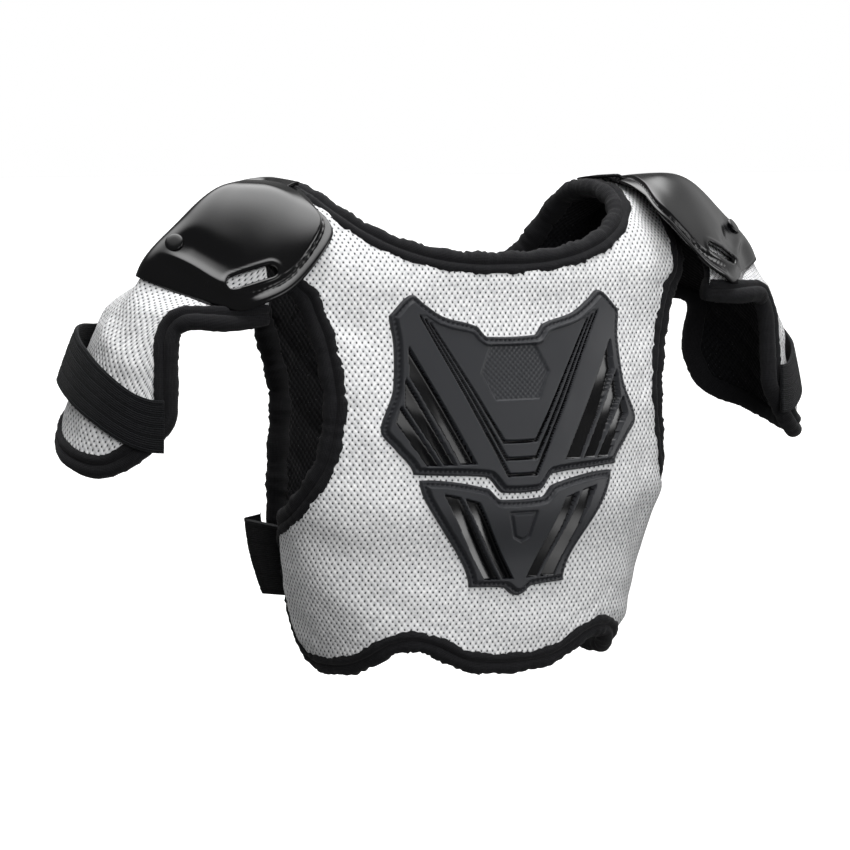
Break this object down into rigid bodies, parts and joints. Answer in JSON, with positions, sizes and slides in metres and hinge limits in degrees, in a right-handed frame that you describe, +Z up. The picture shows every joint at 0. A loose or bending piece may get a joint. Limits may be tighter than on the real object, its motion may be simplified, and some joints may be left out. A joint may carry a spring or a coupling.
{
  "type": "roost deflector",
  "caption": "Child's motocross guard for chest, back and shoulders: padded mesh vest with chest plates, hard shoulder cups and open strapped arm sleeves, in its worn form",
  "frame": {"origin": "underside of the shoulder pads, midway between the two shoulders, where the wearer's shoulders carry the guard", "axes": "+X to the wearer's left, -Y out of the chest, +Z up; metres"},
  "size_m": [0.5288, 0.1875, 0.3181],
  "materials": {
    "spacer_mesh": "matte light grey polyester spacer mesh with rows of small dark holes, over foam",
    "binding_tape": "matte black woven edge binding",
    "plate_rubber": "matte charcoal moulded rubber with glossier black louvres",
    "cup_shell": "glossy black injection-moulded shell",
    "elastic": "matte black ribbed woven elastic"
  },
  "bodies": {
    "root": {"front_panel": "spacer_mesh", "back_panel": "spacer_mesh", "chest_plate_upper": "plate_rubber", "chest_plate_lower": "plate_rubber", "hem_binding_front": "binding_tape", "hem_binding_back": "binding_tape", "armhole_binding_left": "binding_tape", "armhole_binding_right": "binding_tape", "neck_binding": "binding_tape", "shoulder_cup_left": "cup_shell", "cup_rivet_left_1": "cup_shell", "cup_rivet_left_2": "cup_shell", "sleeve_left": "spacer_mesh", "sleeve_binding_left": "binding_tape", "arm_strap_left": "elastic", "side_strap_left": "elastic", "shoulder_cup_right": "cup_shell", "cup_rivet_right_1": "cup_shell", "cup_rivet_right_2": "cup_shell", "sleeve_right": "spacer_mesh", "sleeve_binding_right": "binding_tape", "arm_strap_right": "elastic", "side_strap_right": "elastic"}
  },
  "joints": []
}
